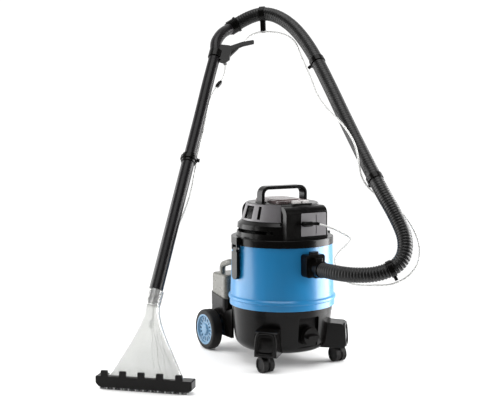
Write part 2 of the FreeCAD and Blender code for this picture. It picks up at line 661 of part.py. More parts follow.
def top_panel():
    """Raised lid on the dome, between the handle's legs."""
    lid = block(-58, 58, -78, 84, HEAD_TOP_Z, HEAD_TOP_Z + 8, 24)
    ridge = block(-46, 46, -50, 70, HEAD_TOP_Z + 8, HEAD_TOP_Z + 11, 20)
    return join([lid, ridge])


def carry_handle():
    """Arched grip, a flat band with rounded upper corners and foot plates."""
    half, low = HANDLE_W / 2, HEAD_TOP_Z
    top, inner = low + HANDLE_RISE, half - HANDLE_BAR
    place = lambda u, v: V(u, -HANDLE_DEPTH / 2, v)
    shape = [(-half, low, 0), (-half, top, 26), (half, top, 26), (half, low, 0),
             (inner, low, 0), (inner, top - HANDLE_BAR, 16), (-inner, top - HANDLE_BAR, 16), (-inner, low, 0)]
    band = Part.Face(outline(shape, place)).extrude(Y * HANDLE_DEPTH)
    rims = [e for e in band.Edges if abs(abs(e.CenterOfMass.y) - HANDLE_DEPTH / 2) < 0.1
            and e.CenterOfMass.z > low + 1]
    band = band.makeFillet(HANDLE_BAR * 0.3, rims)
    pieces = [band]
    for way in (-1, 1):
        centre = way * HANDLE_LEG_X
        pieces.append(block(centre - 9, centre + 9, -22, 22, low, low + 4, 5))
    return join(pieces)


def switch_bezel():
    """Frame for the two rocker switches."""
    x0, x1, y0, y1 = BEZEL
    frame = block(x0, x1, y0, y1, HEAD_TOP_Z - 16, HEAD_TOP_Z + 3, 0)
    for way in (-1, 1):
        centre = way * ROCKER_X
        frame = frame.cut(block(centre - 12, centre + 12, ROCKER_Y - 11, ROCKER_Y + 11,
                                HEAD_TOP_Z - 12, HEAD_TOP_Z + 10))
    pins = rod(1.5 + FIT, V(-ROCKER_X - 14, ROCKER_Y, ROCKER_Z - 4), V(ROCKER_X + 14, ROCKER_Y, ROCKER_Z - 4))
    return frame.cut(pins)


def rocker(way):
    """Rocker with a shallow V-shaped top, on a cross pin."""
    centre = way * ROCKER_X
    body = side_prism([(ROCKER_Y - 9, ROCKER_Z - 9, 1), (ROCKER_Y + 9, ROCKER_Z - 9, 1),
                       (ROCKER_Y + 9, ROCKER_Z + ROCKER_RISE, 1.5), (ROCKER_Y, ROCKER_Z + ROCKER_RISE - 2, 0),
                       (ROCKER_Y - 9, ROCKER_Z + ROCKER_RISE, 1.5)], centre - 11.4, centre + 11.4)
    pin = rod(1.5, V(centre - 13.5, ROCKER_Y, ROCKER_Z - 4), V(centre + 13.5, ROCKER_Y, ROCKER_Z - 4))
    return join([body, pin])


def spray_socket():
    """Elbow fitting on the front panel that the spray tube leaves."""
    end = SPRAY_UP_ROUTE[0]
    root = V(-14, POD_Y - 0.6, end.z)
    middle = root - Y * 10.4
    arm = middle + X * 22
    away = (SPRAY_UP_ROUTE[1] - end).normalize()
    bend = end - away * 8
    return join([rod(8, root, middle), Part.makeSphere(8, middle), rod(8, middle, arm), Part.makeSphere(8, arm),
                 rod(5, arm, bend), Part.makeSphere(5, bend), rod(5, bend, end - away * GAP)])


def cable_gland():
    """Gland for the mains lead at the back of the head: a flanged sleeve through the cover."""
    flange = rod(GLAND_R + 2.5, V(GLAND_X, 132, GLAND_Z), V(GLAND_X, 152, GLAND_Z)).cut(dome(0.0))
    sleeve = rod(GLAND_R, V(GLAND_X, GLAND_Y[0], GLAND_Z), V(GLAND_X, GLAND_Y[1], GLAND_Z))
    return flange.fuse(sleeve).cut(rod(GLAND_BORE_R, V(GLAND_X, GLAND_Y[0] - 1, GLAND_Z),
                                       V(GLAND_X, GLAND_Y[1] + 1, GLAND_Z)))


def motor_housing():
    """Can around the suction motor and its fan, open below."""
    can = turned([(0, DECK_Z + 86, 0), (0, DECK_Z, 0), (56, DECK_Z, 0), (56, DECK_Z + 86, 8)])
    chamber = turned([(0, DECK_Z - 1, 0), (52, DECK_Z - 1, 0), (52, DECK_Z + 34, 0), (0, DECK_Z + 34, 0)])
    can = can.cut(chamber)
    bore = rod(4 + FIT, V(0, 0, DECK_Z + 30), V(0, 0, DECK_Z + 70))
    return can.cut(bore)


def fan_rotor():
    """Suction fan with curved-back blades, and its shaft."""
    low = DECK_Z + 6
    disc = rod(47, V(0, 0, low), V(0, 0, low + 3))
    shaft = rod(4, V(0, 0, low), V(0, 0, DECK_Z + 66))
    pieces = [disc, shaft, rod(12, V(0, 0, low), V(0, 0, low + 20))]
    blades = 7
    for i in range(blades):
        blade = block(9, 45, -1.2, 1.2, low + 2, low + 20)
        blade.rotate(V(0, 0, 0), Z, 360.0 * i / blades)
        pieces.append(blade)
    return join(pieces)


def pump():
    """Solution pump on the deck, behind the front panel."""
    body = block(-28, 28, -124, -76, DECK_Z, DECK_Z + 34, 6)
    motor = rod(15, V(28, -100, DECK_Z + 17), V(60, -100, DECK_Z + 17))
    outlet = rod(5, V(-14, -132, DECK_Z + 22), V(-14, -120, DECK_Z + 22))
    return join([body, motor, outlet])


CAGE_LOW_Z = 318.0


def float_cage():
    """Slotted cage under the deck that holds the float."""
    top = DECK_Z - 6.7
    cage = turned([(0, CAGE_LOW_Z, 0), (43, CAGE_LOW_Z, 5), (43, top - 4, 0), (58, top - 4, 0), (58, top, 0),
                   (40, top, 0), (40, CAGE_LOW_Z + 3, 3), (0, CAGE_LOW_Z + 3, 0)])
    slots = 12
    for i in range(slots):
        slot = block(30, 50, -4, 4, CAGE_LOW_Z + 14, top - 12)
        slot.rotate(V(0, 0, 0), Z, 360.0 * i / slots)
        cage = cage.cut(slot)
    return cage


def float_cup():
    """Float that rises with the water and shuts the suction opening."""
    low = CAGE_LOW_Z + 3 + GAP
    return turned([(0, low + 3, 0), (30, low + 3, 0), (30, low, 0), (33, low, 0), (33, low + 36, 6), (0, low + 36, 0)])


# ---- wand ----

NECK_TOP = V(-470, -44, 270)
WAND_TOP = V(-80, 293, 986)
WAND_DIR = (WAND_TOP - NECK_TOP).normalize()
COLLAR_AT = NECK_TOP + WAND_DIR * 464
SIDE_DIR = V(0.857, -0.515, 0)
SIDE_DIR = (SIDE_DIR - WAND_DIR * SIDE_DIR.dot(WAND_DIR)).normalize()
DEEP_DIR = WAND_DIR.cross(SIDE_DIR)
CUFF_LEN = 42.0
NECK_LEN = 42.0
NECK_SHOULDER = 4.0


def handle_route():
    """Straight grip tube, then a bend towards the hose."""
    hose_end = HOSE_ROUTE[-1]
    back = (HOSE_ROUTE[-1] - HOSE_ROUTE[-2]).normalize()
    cuff_end = hose_end + back * (CUFF_LEN - 14)
    bend = [WAND_TOP + WAND_DIR * 8, V(-62, 325, 1028), V(-26, 349, 1062)]
    return [V(COLLAR_AT), COLLAR_AT + WAND_DIR * 180, COLLAR_AT + WAND_DIR * 300 + SIDE_DIR * -1.5] + bend + [cuff_end]


def handle_tube():
    points = handle_route()
    return swept(points, WAND_D).cut(swept(points, WAND_D - 2 * TUBE_WALL))


def wand_cuff():
    """Cuff that joins the hose to the handle tube."""
    end = HOSE_ROUTE[-1]
    back = (HOSE_ROUTE[-1] - HOSE_ROUTE[-2]).normalize()
    body = rod(HOSE_D / 2 + 2.5, end, end + back * (CUFF_LEN - 6))
    lip = rod(HOSE_D / 2 + 5, end, end + back * 9)
    tip = rod(WAND_D / 2 + 3, end, end + back * CUFF_LEN)
    piece = join([body, lip, tip]).cut(rod(PORT_BORE_R - 3, end - back, end + back * 60))
    return piece.cut(swept(handle_route(), WAND_D))


def wand_collar():
    """Ring that joins the two wand tubes."""
    start, end = COLLAR_AT - WAND_DIR * 14, COLLAR_AT + WAND_DIR * 14
    ring = join([rod(WAND_LOW_D / 2 + 3, start, end), rod(WAND_LOW_D / 2 + 7, COLLAR_AT - WAND_DIR * 5,
                                                         COLLAR_AT + WAND_DIR * 5)])
    lug = rod(6, COLLAR_AT, COLLAR_AT + SIDE_DIR * 34)
    ring = join([ring, lug])
    ring = ring.cut(rod(WAND_LOW_D / 2, start, COLLAR_AT))
    return ring.cut(rod(WAND_D / 2, start, end))


def wand_tube():
    return sleeve(WAND_LOW_D / 2, WAND_LOW_D / 2 - TUBE_WALL, NECK_LOW + WAND_DIR * NECK_SHOULDER, COLLAR_AT)


# ---- nozzle ----

NOZZLE_FOOT = V(-538, -113, 0)
BAR_DIR = V(1, -1, 0).normalize()
NECK_LOW = NECK_TOP - WAND_DIR * NECK_LEN
NOZZLE_DIR = (NECK_LOW - NOZZLE_FOOT).normalize()
NOZZLE_DEEP = BAR_DIR.cross(NOZZLE_DIR) * -1
NOZZLE_LEN = (NECK_LOW - NOZZLE_FOOT).Length
NOZZLE_WALL = 2.5
NECK_R_OUT = WAND_LOW_D / 2 + NOZZLE_WALL
# (height along the nozzle, width, thickness, corner radius) of the fan, from the neck to the mouth
FAN = [(0.99, 46, 45, 20), (0.90, 50, 44, 19), (0.78, 66, 40, 17),
       (0.58, 111, 33, 14), (0.36, 170, 28, 12), (0.15, NOZZLE_W, 25, 10)]


def fan_body(inset):
    """The fan between its neck and its mouth, smaller by inset."""
    wires = []
    for share, width, thick, radius in FAN:
        centre = NOZZLE_FOOT + NOZZLE_DIR * (share * NOZZLE_LEN)
        hw, ht, r = width / 2 - inset, thick / 2 - inset, radius - inset
        corners = [(-hw, -ht, r), (hw, -ht, r), (hw, ht, r), (-hw, ht, r)]
        wires.append(outline(corners, on_axis(centre, NOZZLE_DEEP, BAR_DIR)))
    return Part.makeLoft(wires, True, False)


def nozzle_shell():
    """Clear fan-shaped suction shell with a socket for the wand and a shoulder that stops it."""
    neck = rod(NECK_R_OUT + 1.5, NECK_LOW - WAND_DIR * 9, NECK_TOP)
    body = fan_body(0.0).fuse(neck)
    throat = rod(WAND_LOW_D / 2 - 3, NECK_LOW - NOZZLE_DIR * 16, NECK_LOW + WAND_DIR * 2)
    upper = rod(WAND_LOW_D / 2 - 3, NECK_LOW - WAND_DIR * 2, NECK_LOW + WAND_DIR * (NECK_SHOULDER + 2))
    socket = rod(WAND_LOW_D / 2, NECK_LOW + WAND_DIR * NECK_SHOULDER, NECK_TOP + WAND_DIR)
    return body.cut(fan_body(NOZZLE_WALL)).cut(throat.fuse([upper, socket]))


def brush_bar():
    """Clip-on bar around the nozzle's mouth, with five clips and a notched lower edge."""
    place = on_axis(NOZZLE_FOOT + Z * 9, V(0, 0, 1), BAR_DIR)
    deep = V(BAR_DIR.y, -BAR_DIR.x, 0) * -1
    half = BRUSH_W / 2
    profile = [(-half, 10, 3), (-half + 10, 0, 3), (half - 8, 0, 3), (half, 6, 3), (half, 31, 3), (-half, 31, 3)]
    face = Part.Face(outline(profile, place))
    face.translate(deep * -19)
    bar = face.extrude(deep * 38)
    pieces = [bar]
    for u in (-119, -63, -7, 49, 106):
        tab = [(u - 10, 25, 2), (u + 10, 25, 2), (u + 10, 47, 2), (u - 10, 47, 2)]
        clip = Part.Face(outline(tab, place))
        clip.translate(deep * -19)
        pieces.append(clip.extrude(deep * 8))
    body = join(pieces)
    hollow = fan_body(0.0)
    mouth = [(-NOZZLE_W / 2 + 4, -5, 0), (NOZZLE_W / 2 - 4, -5, 0), (NOZZLE_W / 2 - 4, 32, 0),
             (-NOZZLE_W / 2 + 4, 32, 0)]
    slot = Part.Face(outline(mouth, place))
    slot.translate(deep * -8)
    return body.cut(hollow).cut(slot.extrude(deep * 16))


def brush_strip(way):
    """Lip under the bar, a row of short teeth."""
    deep = V(BAR_DIR.y, -BAR_DIR.x, 0) * -1
    half = BRUSH_W / 2 - 12
    place = on_axis(NOZZLE_FOOT + deep * (way * 13 - 2), V(0, 0, 1), BAR_DIR)
    teeth = 12
    pitch = 2 * half / teeth
    corners = [(-half, 9, 0)]
    for i in range(teeth):
        u = -half + pitch * i
        corners += [(u, 0, 0), (u + pitch * 0.8, 0, 0), (u + pitch * 0.8, 3, 0), (u + pitch, 3, 0)]
    corners += [(half, 9, 0)]
    return Part.Face(outline(corners, place)).extrude(deep * 4)


def spray_jet():
    """Spray head behind the fan, where the lower spray tube ends."""
    end = SPRAY_DOWN_ROUTE[-1]
    return rod(8, end, end - NOZZLE_DIR * 24).cut(fan_body(0.0))


# ---- spray valve ----

VALVE_AT = WAND_TOP - WAND_DIR * 2


def valve_point(side, along, deep=0.0):
    """A point by the valve: side from the wand's axis, along the wand, and across both."""
    return VALVE_AT + SIDE_DIR * side + WAND_DIR * along + DEEP_DIR * deep


LEVER_PIN = (38.0, 32.0)


def valve_body():
    """Valve block clamped on the handle tube, with its inlet and outlet barbs."""
    place = lambda u, v: valve_point(u, v, -11)
    corners = [(10, -18, 4), (34, -22, 4), (50, -4, 4), (50, 20, 4), (44, 42, 5), (10, 40, 4)]
    block_shape = Part.Face(outline(corners, place)).extrude(DEEP_DIR * 22)
    clamp = rod(WAND_D / 2 + 4, valve_point(0, -12), valve_point(0, 14))
    out_end, in_end = SPRAY_DOWN_ROUTE[0], SPRAY_UP_ROUTE[-1]
    pieces = [block_shape, clamp, rod(6, valve_point(34, -14), out_end), rod(6, valve_point(44, 2), in_end)]
    body = join(pieces)
    fork = lambda u, v: valve_point(u, v, -5 - GAP)
    gap = [(24, 24, 0), (60, 14, 0), (70, 60, 0), (20, 60, 0)]
    body = body.cut(Part.Face(outline(gap, fork)).extrude(DEEP_DIR * (10 + 2 * GAP)))
    pin = valve_point(*LEVER_PIN)
    body = body.cut(rod(2 + FIT, pin - DEEP_DIR * 20, pin + DEEP_DIR * 20))
    return body.cut(swept(handle_route(), WAND_D))


def trigger_lever():
    """Curved hand lever on a pin in the valve block."""
    place = lambda u, v: valve_point(u, v, -5)
    start = V(LEVER_PIN[0], LEVER_PIN[1], 0)
    arm = [(start.x - 6, start.y - 6, 4), (start.x + 8, start.y - 6, 4), (start.x + 46, start.y + 24, 30),
           (start.x + 82, start.y + 42, 4), (start.x + 78, start.y + 52, 4), (start.x + 40, start.y + 36, 30),
           (start.x - 2, start.y + 8, 4)]
    lever = Part.Face(outline(arm, place)).extrude(DEEP_DIR * 10)
    pin = valve_point(*LEVER_PIN)
    return join([lever, rod(2, pin - DEEP_DIR * 11, pin + DEEP_DIR * 11)])


def tube_connector():
    """Inline connector on the lower spray tube."""
    a, b = SPRAY_DOWN_ROUTE[2], SPRAY_DOWN_ROUTE[3]
    axis = (b - a).normalize()
    middle = (a + b) * 0.5
    body = join([rod(7, middle - axis * 9, middle + axis * 9), rod(5, middle - axis * 16, middle + axis * 16)])
    return body.cut(rod(SPRAY_D / 2 - GAP, middle - axis * 20, middle + axis * 20))


# ---- hose clips ----

def hose_clip(run, share, towards):
    """Ring around the hose with a stub that holds the spray tube."""
    a, b = HOSE_ROUTE[run], HOSE_ROUTE[run + 1]
    axis = (b - a).normalize()
    spot = a + (b - a) * share
    stub_dir = (towards - spot)
    stub_dir = (stub_dir - axis * stub_dir.dot(axis)).normalize()
    ring = rod(HOSE_D / 2 + 3, spot - axis * 8, spot + axis * 8)
    stub = rod(5.5, spot, spot + stub_dir * (HOSE_D / 2 + 14))
    body = join([ring, stub])
    return body.cut(rod(HOSE_D / 2 - GAP, spot - axis * 20, spot + axis * 20))


def hose_strap():
    """Strap over the hose with a flat bar that hangs down to the spray tube."""
    a, b = HOSE_ROUTE[12], HOSE_ROUTE[13]
    axis = (b - a).normalize()
    spot = a + (b - a) * 0.45
    ring = rod(HOSE_D / 2 + 3, spot - axis * 9, spot + axis * 9)
    low = SPRAY_UP_ROUTE[29]
    down = low - spot
    down = (down - axis * down.dot(axis)).normalize()
    across = axis.cross(down)
    place = on_axis(spot + across * -4, down, axis)
    reach = (low - spot).Length + 6
    bar = Part.Face(outline([(-9, 0, 0), (9, 0, 0), (9, reach, 3), (-9, reach, 3)], place)).extrude(across * 8)
    body = join([ring, bar])
    return body.cut(rod(HOSE_D / 2 - GAP, spot - axis * 20, spot + axis * 20))


def all_nodes():
    nodes = {
        "base_tub": base_tub(),
        "drum": drum(),
        "inlet_port": inlet_port(),
        "inlet_release_button": release_button(),
        "hose_cuff": hose_cuff(),
        "suction_hose": swept(HOSE_ROUTE, HOSE_D, "suction_hose"),
        "hose_clip_lower": hose_clip(3, 0.5, SPRAY_UP_ROUTE[10]),
        "hose_clip_middle": hose_clip(7, 0.14, SPRAY_UP_ROUTE[16]),
        "hose_clip_upper": hose_clip(9, 0.5, SPRAY_UP_ROUTE[27]),
        "hose_strap": hose_strap(),
        "spray_tube_upper": swept(SPRAY_UP_ROUTE, SPRAY_D, "spray_tube_upper"),
        "spray_tube_lower": swept(SPRAY_DOWN_ROUTE, SPRAY_D, "spray_tube_lower"),
        "tube_connector": tube_connector(),
        "wand_cuff": wand_cuff(),
        "handle_tube": handle_tube(),
        "wand_collar": wand_collar(),
        "wand_tube_lower": wand_tube(),
        "spray_valve": valve_body(),
        "trigger_lever": trigger_lever(),
        "nozzle_shell": nozzle_shell(),
        "spray_jet": spray_jet(),
        "brush_bar": brush_bar(),
        "brush_strip_front": brush_strip(-1),
        "brush_strip_rear": brush_strip(1),
        "rear_bracket": rear_bracket(),
        "rear_axle": rear_axle(),
        "solution_tank": solution_tank(),
        "tank_cap": tank_cap(),
        "tank_elbow": tank_elbow(),
        "tank_nipple": tank_nipple(),
        "drain_plug": drain_plug(),
        "head_base": head_base(),
        "head_cover": head_cover(),
        "front_panel": front_panel(),
        "top_panel": top_panel(),
        "carry_handle": carry_handle(),
        "switch_bezel": switch_bezel(),
        "spray_socket": spray_socket(),
        "cable_gland": cable_gland(),
        "motor_housing": motor_housing(),
        "fan_rotor": fan_rotor(),
        "pump": pump(),
        "float_cage": float_cage(),
        "float_cup": float_cup(),
    }
    for name, side in (("left", -1), ("right", 1)):
        nodes["foot_" + name] = foot(side)
        nodes["castor_fork_" + name] = castor_fork(side)
        nodes["castor_wheels_" + name] = castor_wheels(side)
        nodes["rear_tyre_" + name] = rear_tyre(side)
        nodes["rear_hub_" + name] = rear_hub(side)
        nodes["latch_" + name] = latch(side)
        nodes["vent_panel_" + name] = vent_panel(side)
        nodes["switch_rocker_" + name] = rocker(side)
    return nodes


CORD_NODES = ("suction_hose", "spray_tube_upper", "spray_tube_lower", "tube_connector", "hose_clip_lower",
              "hose_clip_middle", "hose_clip_upper", "hose_strap")


def main():
    os.makedirs("parts", exist_ok=True)
    nodes = all_nodes()
    box = FreeCAD.BoundBox()
    for name, shape in nodes.items():
        if name not in CORD_NODES:
            box.add(shape.optimalBoundingBox(False, False))
    shift = V(-box.Center.x, -box.Center.y, -box.ZMin)
    print("nodes", len(nodes), "shift", shift, "box", box)
    for name, shape in nodes.items():
        shape.translate(shift)
        solids = shape.Solids
        if len(solids) != 1 or not shape.isValid():
            print("CHECK", name, "solids", len(solids), "valid", shape.isValid())
        shape.exportStep("parts/" + name + ".step")


main()
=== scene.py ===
"""Carpet cleaner: finishes, cords, fine detail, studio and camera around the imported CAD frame."""

import json
import math
import random

import bmesh
import bpy
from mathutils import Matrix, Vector
from mathutils.bvhtree import BVHTree


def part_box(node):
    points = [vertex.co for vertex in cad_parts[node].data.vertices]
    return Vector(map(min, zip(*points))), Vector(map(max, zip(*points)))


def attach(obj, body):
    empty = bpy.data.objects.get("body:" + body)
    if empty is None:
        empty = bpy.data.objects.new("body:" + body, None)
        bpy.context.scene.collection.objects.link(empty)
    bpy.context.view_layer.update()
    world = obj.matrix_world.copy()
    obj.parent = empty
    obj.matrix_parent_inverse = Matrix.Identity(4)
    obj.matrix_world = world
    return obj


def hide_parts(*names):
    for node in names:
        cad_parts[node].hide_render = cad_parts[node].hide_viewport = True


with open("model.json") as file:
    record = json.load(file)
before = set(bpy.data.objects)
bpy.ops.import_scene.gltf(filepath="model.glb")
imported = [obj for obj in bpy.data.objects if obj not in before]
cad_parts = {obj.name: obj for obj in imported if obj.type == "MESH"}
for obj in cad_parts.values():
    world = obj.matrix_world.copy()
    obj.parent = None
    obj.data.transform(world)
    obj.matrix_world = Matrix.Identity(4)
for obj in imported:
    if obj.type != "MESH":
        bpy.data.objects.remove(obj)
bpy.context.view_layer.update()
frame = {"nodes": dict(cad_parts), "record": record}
random.seed(7)

MM = 0.001
UP = Vector((0, 0, 1))


def middle(node):
    """Middle of a CAD node's box."""
    low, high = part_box(node)
    return (low + high) / 2


DRUM_AXIS = middle("drum").to_2d().to_3d()  # where the drum's upright axis meets the floor


def at(x, y, z):
    """Point given from the foot of the drum's axis, in metres."""
    return DRUM_AXIS + Vector((x, y, z))


# ------------------------------------------------------------------ camera and studio

VIEW_AZIMUTH = math.radians(31)
CAMERA_BACK = 3.15
CAMERA_LEFT = 0.103
CAMERA_HEIGHT = 0.801
CAMERA_PITCH = math.atan(90 / 990)
CAMERA_LENS = 36 * 990 / 500

FLOOR_RADIUS = 0.95

BACKDROP_FROM, BACKDROP_TO = -0.1, 0.6      # cosine of the angle from straight ahead
BACKDROP_LIGHT = 1.1
ROOM_LIGHT = 0.12

SOFTBOX_TALL = 2.0
SOFTBOX_HEIGHT = 0.6
SOFTBOX_AIM_HEIGHT = 0.3
SKY_LIGHT = 2.0
SKY_SPREAD = math.radians(50)
SKY_TILT = (math.radians(10), math.radians(-8), 0)

AHEAD = Vector((math.sin(VIEW_AZIMUTH), math.cos(VIEW_AZIMUTH), 0))
RIGHT = Vector((math.cos(VIEW_AZIMUTH), -math.sin(VIEW_AZIMUTH), 0))


def add_camera():
    data = bpy.data.cameras.new("camera")
    data.lens = CAMERA_LENS
    data.sensor_width = 36
    camera = bpy.data.objects.new("camera", data)
    bpy.context.collection.objects.link(camera)
    camera.location = DRUM_AXIS - AHEAD * CAMERA_BACK - RIGHT * CAMERA_LEFT + UP * CAMERA_HEIGHT
    camera.rotation_euler = (math.pi / 2 - CAMERA_PITCH, 0, -VIEW_AZIMUTH)
    bpy.context.scene.camera = camera


def add_softbox(name, right, ahead, width, power):
    """Rectangular studio light, placed from the drum's axis and aimed at it."""
    data = bpy.data.lights.new(name, "AREA")
    data.shape = "RECTANGLE"
    data.size = width
    data.size_y = SOFTBOX_TALL
    data.energy = power
    lamp = bpy.data.objects.new(name, data)
    bpy.context.collection.objects.link(lamp)
    lamp.location = DRUM_AXIS + RIGHT * right + AHEAD * ahead + UP * SOFTBOX_HEIGHT
    aim = DRUM_AXIS + UP * SOFTBOX_AIM_HEIGHT
    lamp.rotation_euler = (aim - lamp.location).to_track_quat("-Z", "Y").to_euler()
    lamp.visible_camera = False


def add_sky_light():
    """Broad even light from above, so that the floor is as bright far off as near the object."""
    data = bpy.data.lights.new("overhead", "SUN")
    data.energy = SKY_LIGHT
    data.angle = SKY_SPREAD
    lamp = bpy.data.objects.new("overhead", data)
    bpy.context.collection.objects.link(lamp)
    lamp.rotation_euler = SKY_TILT


def add_floor():
    """Round white table that ends just outside the view, so little of it shows in the machine's front."""
    shape = bmesh.new()
    bmesh.ops.create_circle(shape, cap_ends=True, segments=96, radius=FLOOR_RADIUS)
    mesh = bpy.data.meshes.new("floor")
    shape.to_mesh(mesh)
    shape.free()
    floor = bpy.data.objects.new("floor", mesh)
    bpy.context.collection.objects.link(floor)
    material = bpy.data.materials.new("floor_white")
    material.use_nodes = True
    shader = material.node_tree.nodes["Principled BSDF"]
    shader.inputs["Base Color"].default_value = (0.93, 0.93, 0.93, 1)
    shader.inputs["Roughness"].default_value = 0.5
    mesh.materials.append(material)


def add_world():
    """White backdrop, and for everything but the camera a dark room on the near side of the object."""
    world = bpy.data.worlds.new("studio")
    bpy.context.scene.world = world
    world.use_nodes = True
    tree = world.node_tree
    output = tree.nodes["World Output"]
    dim = tree.nodes["Background"]
    dim.inputs["Color"].default_value = (1, 1, 1, 1)
    place = tree.nodes.new("ShaderNodeTexCoord")
    ahead = tree.nodes.new("ShaderNodeVectorMath")
    ahead.operation = "DOT_PRODUCT"
    ahead.inputs[1].default_value = AHEAD
    fall = tree.nodes.new("ShaderNodeMapRange")
    fall.interpolation_type = "SMOOTHSTEP"
    for socket, value in (("From Min", BACKDROP_FROM), ("From Max", BACKDROP_TO), ("To Min", ROOM_LIGHT),
                          ("To Max", BACKDROP_LIGHT)):
        fall.inputs[socket].default_value = value
    tree.links.new(place.outputs["Generated"], ahead.inputs[0])
    tree.links.new(ahead.outputs["Value"], fall.inputs["Value"])
    tree.links.new(fall.outputs["Result"], dim.inputs["Strength"])
    white = tree.nodes.new("ShaderNodeBackground")
    white.inputs["Color"].default_value = (1, 1, 1, 1)
    white.inputs["Strength"].default_value = BACKDROP_LIGHT
    seen = tree.nodes.new("ShaderNodeLightPath")
    mix = tree.nodes.new("ShaderNodeMixShader")
    tree.links.new(seen.outputs["Is Camera Ray"], mix.inputs["Fac"])
    tree.links.new(dim.outputs["Background"], mix.inputs[1])
    tree.links.new(white.outputs["Background"], mix.inputs[2])
    tree.links.new(mix.outputs["Shader"], output.inputs["Surface"])


def add_studio():
    add_floor()
    add_world()
    add_softbox("softbox_right", right=2.0, ahead=0.35, width=1.8, power=130)
    add_softbox("softbox_left", right=-2.0, ahead=0.15, width=2.2, power=70)
    add_sky_light()
    bpy.context.scene.view_settings.view_transform = "Standard"


# ------------------------------------------------------------------ material nodes

class Finish:
    """One material under construction: its node tree, its shader and its surface coordinates."""

    def __init__(self, name, **constants):
        self.material = bpy.data.materials.new(name)
        self.material.use_nodes = True
        self.tree = self.material.node_tree
        self.shader = self.tree.nodes["Principled BSDF"]
        for socket, value in constants.items():
            self.shader.inputs[socket.replace("_", " ")].default_value = value
        self.place = self.node("ShaderNodeTexCoord").outputs["Object"]

    def node(self, kind, inputs=(), **settings):
        made = self.tree.nodes.new(kind)
        for key, value in settings.items():
            setattr(made, key, value)
        for key, value in dict(inputs).items():
            self.set(made.inputs[key], value)
        return made

    def set(self, socket, value):
        if isinstance(value, bpy.types.NodeSocket):
            self.tree.links.new(value, socket)
        else:
            socket.default_value = value

    def noise(self, scale, detail=3.0, roughness=0.55, stretch=(1, 1, 1)):
        """Noise of so many waves a metre, from 0 to 1."""
        scaled = self.node("ShaderNodeMapping", {"Vector": self.place, "Scale": stretch})
        made = self.node("ShaderNodeTexNoise", {
            "Vector": scaled.outputs["Vector"], "Scale": scale, "Detail": detail, "Roughness": roughness})
        return made.outputs["Fac"]

    def ramp(self, value, low, high, out_low=0.0, out_high=1.0):
        made = self.node("ShaderNodeMapRange", {
            "Value": value, "From Min": low, "From Max": high, "To Min": out_low, "To Max": out_high})
        return made.outputs["Result"]

    def math(self, operation, first, second):
        made = self.node("ShaderNodeMath", {0: first, 1: second}, operation=operation)
        return made.outputs["Value"]

    def blend(self, factor, first, second):
        """Colour between two others."""
        made = self.node("ShaderNodeMix", {"Factor": factor, 6: first, 7: second}, data_type="RGBA")
        return made.outputs[2]

    def edges(self, radius):
        """1 on sharp outer edges within radius, 0 elsewhere, broken up so the wear looks rubbed."""
        rounded = self.node("ShaderNodeBevel", {"Radius": radius}, samples=4)
        flat = self.node("ShaderNodeNewGeometry").outputs["Normal"]
        along = self.node("ShaderNodeVectorMath", {0: rounded.outputs["Normal"], 1: flat},
                          operation="DOT_PRODUCT")
        edge = self.ramp(along.outputs["Value"], 0.985, 0.86)
        return self.math("MULTIPLY", edge, self.ramp(self.noise(55), 0.35, 0.7))

    def bump(self, height, distance, strength=1.0, under=None):
        inputs = {"Height": height, "Distance": distance, "Strength": strength}
        if under is not None:
            inputs["Normal"] = under
        return self.node("ShaderNodeBump", inputs).outputs["Normal"]

    def use(self, colour=None, roughness=None, normal=None):
        for socket, value in (("Base Color", colour), ("Roughness", roughness), ("Normal", normal)):
            if value is not None:
                self.set(self.shader.inputs[socket], value)
        return self.material


def tone(colour, factor):
    return tuple(min(1.0, c * factor) for c in colour[:3]) + (1.0,)


def moulded(name, colour, roughness, grain_size, grain_depth, wear=0.5, spread=0.1, **constants):
    """Moulded plastic: spark-eroded grain, soft mottling, smudges and paler rubbed edges."""
    finish = Finish(name, **constants)
    mottle = finish.ramp(finish.noise(11, 4), 0.3, 0.7)
    body = finish.blend(mottle, tone(colour, 1 - spread), tone(colour, 1 + spread))
    rubbed = finish.math("MULTIPLY", finish.edges(1.2 * MM), wear)
    body = finish.blend(rubbed, body, tone(tuple(c * 0.8 + 0.09 for c in colour[:3]), 1))
    smudge = finish.ramp(finish.noise(34, 3), 0.3, 0.75, roughness * 0.86, roughness * 1.18)
    grain = finish.noise(1 / grain_size, 2)
    return finish.use(body, smudge, finish.bump(grain, grain_depth))


def drum_blue():
    """Glossy light-blue moulding with faint orange peel and flow marks down the wall."""
    finish = Finish("drum_blue", Coat_Weight=0.1, Coat_Roughness=0.1, Specular_IOR_Level=0.5)
    blue = (0.010, 0.185, 0.415)
    flow = finish.ramp(finish.noise(7, 4, stretch=(1, 1, 0.25)), 0.3, 0.7)
    body = finish.blend(flow, tone(blue, 0.94), tone(blue, 1.07))
    body = finish.blend(finish.math("MULTIPLY", finish.edges(1.5 * MM), 0.5), body, (0.35, 0.56, 0.74, 1))
    smudge = finish.ramp(finish.noise(26, 4), 0.3, 0.75, 0.28, 0.35)
    peel = finish.bump(finish.noise(260, 1), 0.05 * MM)
    fine = finish.bump(finish.noise(2200, 1), 0.012 * MM, under=peel)
    return finish.use(body, smudge, fine)


def hose_black():
    """Soft black hose plastic: satin ribs with patches of dust."""
    finish = Finish("hose_black", Specular_IOR_Level=0.34)
    dust = finish.ramp(finish.noise(45, 4), 0.45, 0.8, 0.0, 0.35)
    body = finish.blend(dust, (0.006, 0.006, 0.006, 1), (0.020, 0.019, 0.018, 1))
    smudge = finish.ramp(finish.noise(60, 3), 0.3, 0.7, 0.33, 0.46)
    return finish.use(body, smudge, finish.bump(finish.noise(900, 2), 0.03 * MM))


